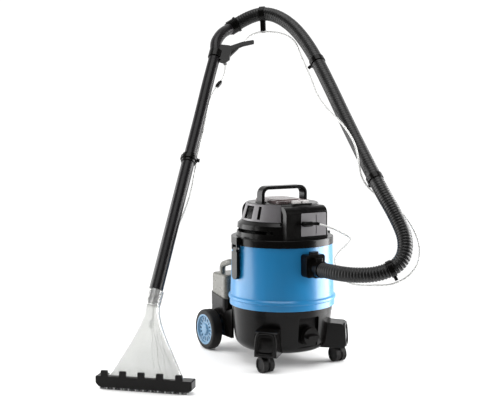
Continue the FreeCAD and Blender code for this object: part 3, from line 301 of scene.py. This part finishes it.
def tube_black():
    """Glossy black extruded wand tube with fine drawing lines and handling scuffs."""
    finish = Finish("tube_black", Specular_IOR_Level=0.17)
    scuff = finish.ramp(finish.noise(120, 5, 0.7), 0.62, 0.8, 0.0, 0.5)
    body = finish.blend(scuff, (0.007, 0.006, 0.007, 1), (0.030, 0.028, 0.028, 1))
    smudge = finish.ramp(finish.noise(30, 4), 0.3, 0.75, 0.24, 0.36)
    return finish.use(body, smudge, finish.bump(finish.noise(700, 2, stretch=(1, 1, 0.08)), 0.02 * MM))


def spray_tube_clear():
    """Milky flexible tube that light passes through sideways, with faint clouding and rubbed marks."""
    finish = Finish("spray_tube_clear", Subsurface_Weight=1.0, Subsurface_Scale=0.01, Specular_IOR_Level=0.35,
                    Subsurface_Radius=(1, 1, 1))
    haze = finish.ramp(finish.noise(40, 4), 0.3, 0.75)
    body = finish.blend(haze, (0.62, 0.62, 0.61, 1), (0.56, 0.56, 0.55, 1))
    smudge = finish.ramp(finish.noise(60, 4), 0.3, 0.75, 0.28, 0.42)
    return finish.use(body, smudge, finish.bump(finish.noise(300, 2), 0.02 * MM))


def clear_plastic(name, colour, roughness, transmission, cloud):
    """Clear or milky moulding with faint clouding and flow marks."""
    finish = Finish(name, Transmission_Weight=transmission, IOR=1.46)
    haze = finish.ramp(finish.noise(14, 4), 0.3, 0.75)
    body = finish.blend(haze, tone(colour, 1.0), tone(colour, cloud))
    smudge = finish.ramp(finish.noise(40, 4), 0.3, 0.75, roughness * 0.8, roughness * 1.25)
    return finish.use(body, smudge, finish.bump(finish.noise(120, 2), 0.04 * MM))


def steel():
    """Ground steel axle, with grinding marks round it."""
    finish = Finish("axle_steel", Metallic=1.0)
    streak = finish.noise(1500, 2, stretch=(1, 0.02, 0.02))
    body = finish.blend(streak, (0.42, 0.42, 0.43, 1), (0.62, 0.62, 0.61, 1))
    return finish.use(body, finish.ramp(streak, 0.2, 0.8, 0.25, 0.42), finish.bump(streak, 0.02 * MM))


def tyre_black():
    """Tyre rubber: dull, slightly grey where the tread is scuffed."""
    finish = Finish("tyre_black", Specular_IOR_Level=0.18)
    scuff = finish.math("MULTIPLY", finish.edges(2.5 * MM), 0.8)
    mottle = finish.blend(finish.noise(80, 4), (0.003, 0.003, 0.003, 1), (0.009, 0.008, 0.008, 1))
    body = finish.blend(scuff, mottle, (0.05, 0.048, 0.046, 1))
    return finish.use(body, finish.ramp(finish.noise(50, 3), 0.3, 0.7, 0.5, 0.68),
                      finish.bump(finish.noise(1300, 2), 0.08 * MM))


def make_finishes():
    """One material for each of the record's slots."""
    return {
        "drum_blue": drum_blue(),
        "hub_blue": moulded("hub_blue", (0.070, 0.175, 0.29), 0.30, 0.7 * MM, 0.02 * MM, 0.5, 0.06,
                            Coat_Weight=0.2),
        "body_black": moulded("body_black", (0.0030, 0.0027, 0.0025), 0.23, 0.8 * MM, 0.022 * MM, 0.3, 0.2,
                              Specular_IOR_Level=0.15),
        "tube_black": tube_black(),
        "panel_grey": moulded("panel_grey", (0.150, 0.143, 0.150), 0.40, 0.6 * MM, 0.05 * MM, 0.35, 0.08),
        "lid_tinted": moulded("lid_tinted", (0.185, 0.140, 0.140), 0.25, 2.0 * MM, 0.02 * MM, 0.3, 0.12,
                              Transmission_Weight=0.25),
        # light grey: the rockers' own grey, and also on the black hose-cuff release button, where this grey
        # is a painted highlight standing in for its glints
        "switch_grey": moulded("switch_grey", (0.62, 0.60, 0.59), 0.33, 0.6 * MM, 0.03 * MM, 0.4, 0.06),
        "hose_black": hose_black(),
        "spray_tube_clear": spray_tube_clear(),
        "nozzle_clear": clear_plastic("nozzle_clear", (0.93, 0.935, 0.92), 0.14, 0.80, 0.95),
        "tank_milky": clear_plastic("tank_milky", (0.125, 0.122, 0.105), 0.30, 0.12, 0.93),
        "tank_cap_grey": moulded("tank_cap_grey", (0.06, 0.06, 0.065), 0.4, 0.8 * MM, 0.05 * MM, 0.4),
        "bristle_black": moulded("bristle_black", (0.012, 0.012, 0.012), 0.55, 0.5 * MM, 0.06 * MM, 0.2),
        "tyre_black": tyre_black(),
        "axle_steel": steel(),
        "float_white": moulded("float_white", (0.72, 0.71, 0.68), 0.4, 0.8 * MM, 0.04 * MM, 0.3, 0.05),
    }


def paint_cad_nodes(finishes):
    for part in frame["record"]["subparts"]:
        node = frame["nodes"][part["node"]]
        node.data.materials.clear()
        node.data.materials.append(finishes[part["material_slot"]])


# ------------------------------------------------------------------ building pieces

def mesh_from(shape, name):
    """Mesh of a finished bmesh, which is freed."""
    mesh = bpy.data.meshes.new(name)
    shape.to_mesh(mesh)
    shape.free()
    return mesh


def piece(name, mesh, body, slot_name, finishes, smooth=True):
    """Adds a mesh to the scene as a named piece that rides on a body and wears a slot's finish."""
    made = bpy.data.objects.new(name, mesh)
    bpy.context.collection.objects.link(made)
    mesh.materials.clear()
    mesh.materials.append(finishes[slot_name])
    for face in mesh.polygons:
        face.use_smooth = smooth
    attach(made, body)
    return made


def spline_curve(name, route):
    """Curve object of one open NURBS spline with the route's points as its control points."""
    data = bpy.data.curves.new(name, "CURVE")
    data.dimensions = "3D"
    data.resolution_u = 12
    spline = data.splines.new("NURBS")
    spline.points.add(len(route) - 1)
    for point, place in zip(spline.points, route):
        point.co = (*at(*place), 1)
    spline.order_u = 3
    spline.use_endpoint_u = True
    made = bpy.data.objects.new(name, data)
    bpy.context.collection.objects.link(made)
    return made


def read_line(route):
    """Points along the route's own smooth line, as Blender works them out."""
    curve = spline_curve("route_line", route)
    mesh = bpy.data.meshes.new_from_object(curve)
    line = [vertex.co.copy() for vertex in mesh.vertices]
    data = curve.data
    bpy.data.objects.remove(curve)
    bpy.data.curves.remove(data)
    bpy.data.meshes.remove(mesh)
    return line


def line_length(line):
    return sum((b - a).length for a, b in zip(line, line[1:]))


class Walk:
    """A line measured along its length, to find a point or a direction at any distance."""

    def __init__(self, line):
        self.line = line
        self.marks = [0.0]
        for a, b in zip(line, line[1:]):
            self.marks.append(self.marks[-1] + (b - a).length)
        self.length = self.marks[-1]

    def point(self, distance):
        distance = min(max(distance, 0.0), self.length)
        step = 1
        while step < len(self.marks) - 1 and self.marks[step] < distance:
            step += 1
        start, end = self.marks[step - 1], self.marks[step]
        return self.line[step - 1].lerp(self.line[step], (distance - start) / max(end - start, 1e-9))

    def heading(self, distance):
        return (self.point(distance + 2 * MM) - self.point(distance - 2 * MM)).normalized()


def tube_mesh(name, walk, stations, sides):
    """Tube along a walk. stations are (distance, radius) pairs; the ends are closed with caps."""
    shape = bmesh.new()
    rings = []
    across = walk.heading(0).orthogonal().normalized()
    for distance, radius in stations:
        heading = walk.heading(distance)
        across = (across - heading * across.dot(heading)).normalized()
        over = heading.cross(across)
        centre = walk.point(distance)
        ring = []
        for side in range(sides):
            turn = math.tau * side / sides
            ring.append(shape.verts.new(centre + (across * math.cos(turn) + over * math.sin(turn)) * radius))
        rings.append(ring)
    for low, high in zip(rings, rings[1:]):
        for side in range(sides):
            after = (side + 1) % sides
            shape.faces.new((low[side], low[after], high[after], high[side]))
    shape.faces.new(reversed(rings[0]))
    shape.faces.new(rings[-1])
    return mesh_from(shape, name)


# ------------------------------------------------------------------ cords

HOSE_D = 0.046
HOSE_RIB_PITCH = 0.0090
HOSE_RIB_DEPTH = 0.0020
HOSE_FLAT_DEPTH = 0.0005                    # the ribs lie flatter where the hose hangs pulled out
STRETCH_FROM, STRETCH_OVER = 0.42, 0.12     # from this far along the hose, over this length
SPRAY_D = 0.006

HOSE_ROUTE = [
    (0.000, -0.225, 0.320), (0.000, -0.279, 0.320), (0.032, -0.345, 0.317), (0.082, -0.400, 0.325),
    (0.134, -0.434, 0.357), (0.163, -0.420, 0.417), (0.169, -0.368, 0.481), (0.165, -0.285, 0.568),
    (0.175, -0.117, 0.746), (0.187, 0.028, 0.906), (0.189, 0.131, 1.017), (0.176, 0.222, 1.095),
    (0.141, 0.294, 1.135), (0.095, 0.342, 1.131), (0.052, 0.368, 1.101),
]
SPRAY_UP_ROUTE = [
    (0.028, -0.166, 0.452), (0.069, -0.180, 0.439), (0.097, -0.208, 0.420), (0.108, -0.228, 0.408),
    (0.090, -0.230, 0.393), (0.059, -0.224, 0.370), (0.037, -0.230, 0.342), (0.040, -0.282, 0.288),
    (0.061, -0.340, 0.284), (0.082, -0.386, 0.290), (0.107, -0.420, 0.294), (0.145, -0.447, 0.316),
    (0.180, -0.457, 0.357), (0.196, -0.441, 0.413), (0.198, -0.386, 0.478), (0.203, -0.296, 0.524),
    (0.166, -0.253, 0.548), (0.136, -0.233, 0.592), (0.133, -0.223, 0.649), (0.135, -0.205, 0.694),
    (0.133, -0.167, 0.736), (0.134, -0.118, 0.770), (0.144, -0.037, 0.806), (0.146, 0.020, 0.850),
    (0.153, 0.060, 0.899), (0.160, 0.110, 0.950), (0.165, 0.150, 0.995), (0.172, 0.190, 1.037),
    (0.161, 0.252, 1.066), (0.117, 0.314, 1.074), (0.082, 0.334, 1.061), (0.051, 0.330, 1.030),
    (0.016, 0.312, 1.012),
]
SPRAY_DOWN_ROUTE = [
    (-0.035, 0.306, 0.957), (-0.046, 0.286, 0.929), (-0.066, 0.272, 0.901), (-0.102, 0.256, 0.872),
    (-0.133, 0.240, 0.834), (-0.155, 0.219, 0.791), (-0.180, 0.188, 0.749), (-0.208, 0.160, 0.702),
    (-0.231, 0.142, 0.658), (-0.250, 0.121, 0.612), (-0.284, 0.088, 0.538), (-0.329, 0.064, 0.465),
    (-0.374, 0.049, 0.405), (-0.409, 0.024, 0.350), (-0.436, -0.001, 0.300), (-0.459, -0.021, 0.254),
    (-0.472, -0.034, 0.218), (-0.480, -0.043, 0.186),
]
# one rib from valley to valley: (share of the pitch, share of the rib's depth)
RIB_PROFILE = [(0.0, 0.0), (0.12, 0.30), (0.24, 0.88), (0.38, 1.0), (0.62, 1.0), (0.76, 0.88), (0.88, 0.30)]


def add_suction_hose(finishes):
    """Ribbed suction hose from the cuff on the drum to the cuff on the wand."""
    line = read_line(HOSE_ROUTE)
    walk = Walk(line)
    ribs = round(walk.length / HOSE_RIB_PITCH)
    pitch = walk.length / ribs
    stations = []
    for rib in range(ribs):
        stretched = min(max((rib * pitch - STRETCH_FROM) / STRETCH_OVER, 0.0), 1.0)
        depth = HOSE_RIB_DEPTH * (1 - stretched) + HOSE_FLAT_DEPTH * stretched
        for along, height in RIB_PROFILE:
            stations.append(((rib + along) * pitch, HOSE_D / 2 - depth * (1 - height)))
    stations.append((walk.length, HOSE_D / 2 - HOSE_FLAT_DEPTH))
    mesh = tube_mesh("hose_ribbed", walk, stations, 40)
    hose = piece("hose_ribbed", mesh, "machine", "hose_black", finishes)
    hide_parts("suction_hose")


def add_spray_tube(name, route, replaced, finishes):
    """Clear spray tube, round and smooth."""
    tube = spline_curve(name, route)
    tube.data.bevel_depth = SPRAY_D / 2
    tube.data.bevel_resolution = 4
    tube.data.use_fill_caps = True
    tube.data.materials.append(finishes["spray_tube_clear"])
    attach(tube, "machine")
    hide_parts(replaced)
    line_length(read_line(route))


def add_cords(finishes):
    add_suction_hose(finishes)
    add_spray_tube("spray_tube_to_wand", SPRAY_UP_ROUTE, "spray_tube_upper", finishes)
    add_spray_tube("spray_tube_to_nozzle", SPRAY_DOWN_ROUTE, "spray_tube_lower",
                   finishes)


# ------------------------------------------------------------------ nozzle detail

NOZZLE_FOOT = Vector((-0.538, -0.113, 0.0))
ALONG_BAR = Vector((1, -1, 0)).normalized()
NOZZLE_UP = Vector((0.200, 0.2146, 0.956)).normalized()
NOZZLE_BACK = NOZZLE_UP.cross(ALONG_BAR).normalized()
STRIP_HALF = 0.133
STRIP_TEETH = 12
TOOTH_SHARE = 0.8
BRISTLE_STEP = 0.0016
BRISTLE_R = 0.00045
BRISTLE_ROWS = (-0.0010, 0.0, 0.0010)
BACKING_DEEP = 0.0036
BACKING_THICK = 0.0024


def spike(shape, root, tip, root_r, tip_r, sides=5):
    """Thin tapered stick, closed at both ends."""
    heading = (tip - root).normalized()
    across = heading.orthogonal().normalized()
    over = heading.cross(across)
    rings = []
    for centre, radius in ((root, root_r), (tip, tip_r)):
        turns = [math.tau * side / sides for side in range(sides)]
        rings.append([shape.verts.new(centre + (across * math.cos(t) + over * math.sin(t)) * radius)
                      for t in turns])
    for side in range(sides):
        after = (side + 1) % sides
        shape.faces.new((rings[0][side], rings[0][after], rings[1][after], rings[1][side]))
    shape.faces.new(reversed(rings[0]))
    shape.faces.new(rings[1])


def add_bristles(node, finishes):
    """Bristles in rows under a backing strip, in the strip's groups."""
    centre = middle(node)
    low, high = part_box(node)
    across = Vector((ALONG_BAR.y, -ALONG_BAR.x, 0))
    shape = bmesh.new()
    top = centre.copy()
    top.z = high.z - BACKING_THICK / 2
    for corner in bmesh.ops.create_cube(shape, size=1.0)["verts"]:
        place = corner.co.copy()
        corner.co = (top + ALONG_BAR * (place.x * 2 * STRIP_HALF) + across * (place.y * BACKING_DEEP)
                     + UP * (place.z * BACKING_THICK))
    bmesh.ops.bevel(shape, geom=list(shape.edges), offset=0.5 * MM, segments=2, affect="EDGES")
    pitch = 2 * STRIP_HALF / STRIP_TEETH
    count = int(pitch * TOOTH_SHARE / BRISTLE_STEP)
    for tooth in range(STRIP_TEETH):
        for step in range(count):
            for row in BRISTLE_ROWS:
                within = (step + 0.5 + random.uniform(-0.2, 0.2)) * BRISTLE_STEP
                along = -STRIP_HALF + tooth * pitch + within
                root = centre + ALONG_BAR * along + across * row
                root.z = high.z - 2 * MM
                splay = ALONG_BAR * random.uniform(-0.6 * MM, 0.6 * MM)
                tip = root + splay + across * random.uniform(-0.4 * MM, 0.4 * MM)
                tip.z = low.z + random.uniform(0.2 * MM, 0.9 * MM)
                spike(shape, root, tip, BRISTLE_R, BRISTLE_R * 0.6)
    name = node + "_bristles"
    strip = piece(name, mesh_from(shape, name), "machine", "bristle_black", finishes, smooth=False)
    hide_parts(node)


RIB_PLACES = (0.24, 0.44, 0.62, 0.78)       # of the fan's half width, on its right half
RIB_FROM, RIB_TO = 0.042, 0.190             # up the nozzle from its foot
RIB_R = 0.0011
RIB_WAVE = 0.0022
RIB_BENDS = 1.6                             # waves along a rib
RIB_STEPS = 32
FAN_HALF_WIDTHS = ((0.037, 0.1145), (0.089, 0.085), (0.143, 0.0555), (0.192, 0.033), (0.222, 0.025))


def fan_half_width(up):
    """Half the fan's width so far up the nozzle."""
    for (low, wide), (high, narrow) in zip(FAN_HALF_WIDTHS, FAN_HALF_WIDTHS[1:]):
        if up <= high:
            return wide + (narrow - wide) * (up - low) / (high - low)
    return FAN_HALF_WIDTHS[-1][1]


def add_nozzle_ribs(finishes):
    """Wavy stiffening ribs moulded on the front of the clear fan."""
    shell = frame["nodes"]["nozzle_shell"]
    corners = [shell.matrix_world @ vertex.co for vertex in shell.data.vertices]
    skin = BVHTree.FromPolygons(corners, [tuple(face.vertices) for face in shell.data.polygons])
    for number, place in enumerate(RIB_PLACES):
        line = []
        for step in range(RIB_STEPS + 1):
            share = step / RIB_STEPS
            up = RIB_FROM + (RIB_TO - RIB_FROM) * share
            wave = RIB_WAVE * math.sin(math.tau * (RIB_BENDS * share + 0.3 * number))
            aside = fan_half_width(up) * place + wave
            above = at(*NOZZLE_FOOT) + NOZZLE_UP * up + ALONG_BAR * aside - NOZZLE_BACK * 80 * MM
            spot = skin.ray_cast(above, NOZZLE_BACK)[0]
            if spot is not None:
                line.append(spot)
        walk = Walk(line)
        stations = []
        for step in range(2 * RIB_STEPS + 1):
            share = step / (2 * RIB_STEPS)
            swell = min(1.0, 8 * share, 8 * (1 - share))
            stations.append((share * walk.length, RIB_R * (0.25 + 0.75 * swell)))
        name = f"nozzle_rib_{number + 1}"
        piece(name, tube_mesh(name, walk, stations, 10), "machine", "nozzle_clear", finishes)


# ------------------------------------------------------------------ foot detail

CASTOR_AT = (0.136, -0.128)
FOOT_FACE = 0.2098                          # from the drum's axis to the foot's outer face
FOOT_LEAN = 0.005                           # the face leans in by this much over its height
RIM_HALF = (0.0285, 0.031)                  # half width of the rim's line, at its top and at its bottom
RIM_R = 0.0046
RIM_MARGIN = 0.0065
SQUARENESS = 4.5                            # of the rounded rectangle that the rim follows
RIM_STEPS, RIM_SIDES = 96, 14
# the domed panel's outlines, from the rim to the middle: (share of the rim's size, height off the face)
PANEL_LEVELS = [(0.86, -0.0060), (0.80, -0.0030), (0.70, -0.0012), (0.50, 0.0002), (0.25, 0.0009)]


def foot_point(side, low, high, turn, share=1.0, proud=0.0):
    """Point on a foot's outer face: at a turn round its rounded rectangle, share of the way out."""
    out = Vector((side * CASTOR_AT[0], CASTOR_AT[1], 0)).normalized()
    across = Vector((-out.y, out.x, 0))
    wide, tall = math.cos(turn), math.sin(turn)
    scale = share / (abs(wide) ** SQUARENESS + abs(tall) ** SQUARENESS) ** (1 / SQUARENESS)
    wide, tall = wide * scale, tall * scale
    half_height = (high - low) / 2 - RIM_MARGIN
    up = (low + high) / 2 + tall * half_height
    half = RIM_HALF[1] + (RIM_HALF[0] - RIM_HALF[1]) * (tall + 1) / 2
    face = FOOT_FACE - FOOT_LEAN * (up - low) / (high - low)
    return DRUM_AXIS + out * (face + proud) + across * (wide * half) + UP * up


def add_foot_rim(node, side, finishes):
    """Thick rounded rim moulded round a foot's outer face, with a domed panel inside it."""
    low, high = (corner.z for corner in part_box(node))
    shape = bmesh.new()
    rings = []
    for step in range(RIM_STEPS):
        turn = math.tau * step / RIM_STEPS
        centre = foot_point(side, low, high, turn)
        ahead = foot_point(side, low, high, turn + 0.02) - foot_point(side, low, high, turn - 0.02)
        outward = (foot_point(side, low, high, turn, proud=0.01) - centre).normalized()
        aside = ahead.normalized().cross(outward)
        turns = [math.tau * edge / RIM_SIDES for edge in range(RIM_SIDES)]
        rings.append([shape.verts.new(centre + (outward * math.sin(t) * 0.8 + aside * math.cos(t)) * RIM_R)
                      for t in turns])
    for step in range(RIM_STEPS):
        here, after = rings[step], rings[(step + 1) % RIM_STEPS]
        for edge in range(RIM_SIDES):
            follows = (edge + 1) % RIM_SIDES
            shape.faces.new((here[edge], here[follows], after[follows], after[edge]))
    loops = []
    for share, proud in PANEL_LEVELS:
        loops.append([shape.verts.new(foot_point(side, low, high, math.tau * step / RIM_STEPS, share, proud))
                      for step in range(RIM_STEPS)])
    for outer, inner in zip(loops, loops[1:]):
        for step in range(RIM_STEPS):
            after = (step + 1) % RIM_STEPS
            shape.faces.new((outer[step], outer[after], inner[after], inner[step]))
    shape.faces.new(loops[-1])
    shape.faces.new(reversed(loops[0]))
    bmesh.ops.recalc_face_normals(shape, faces=shape.faces)
    name = node + "_rim"
    piece(name, mesh_from(shape, name), "machine", "body_black", finishes)


# ------------------------------------------------------------------ latch detail

LATCH_PIN_AT = (0.1715, 0.372)              # out from the drum's axis, and up
LATCH_PIN_HALF = 0.0171
LATCH_PIN_R = 0.0027


def add_latch_pin(body, side, finishes):
    """Steel pin through a latch, its ends just proud of the hinge block."""
    shape = bmesh.new()
    ends = [at(side * LATCH_PIN_AT[0], way * LATCH_PIN_HALF, LATCH_PIN_AT[1]) for way in (-1, 1)]
    spike(shape, ends[0], ends[1], LATCH_PIN_R, LATCH_PIN_R, 20)
    name = body + "_pin"
    piece(name, mesh_from(shape, name), body, "axle_steel", finishes)


# ------------------------------------------------------------------ assembly

add_camera()
add_studio()
FINISHES = make_finishes()
paint_cad_nodes(FINISHES)
add_cords(FINISHES)
add_bristles("brush_strip_front", FINISHES)
add_bristles("brush_strip_rear", FINISHES)
add_nozzle_ribs(FINISHES)
add_foot_rim("foot_left", -1, FINISHES)
add_foot_rim("foot_right", 1, FINISHES)
add_latch_pin("latch_left", -1, FINISHES)
add_latch_pin("latch_right", 1, FINISHES)
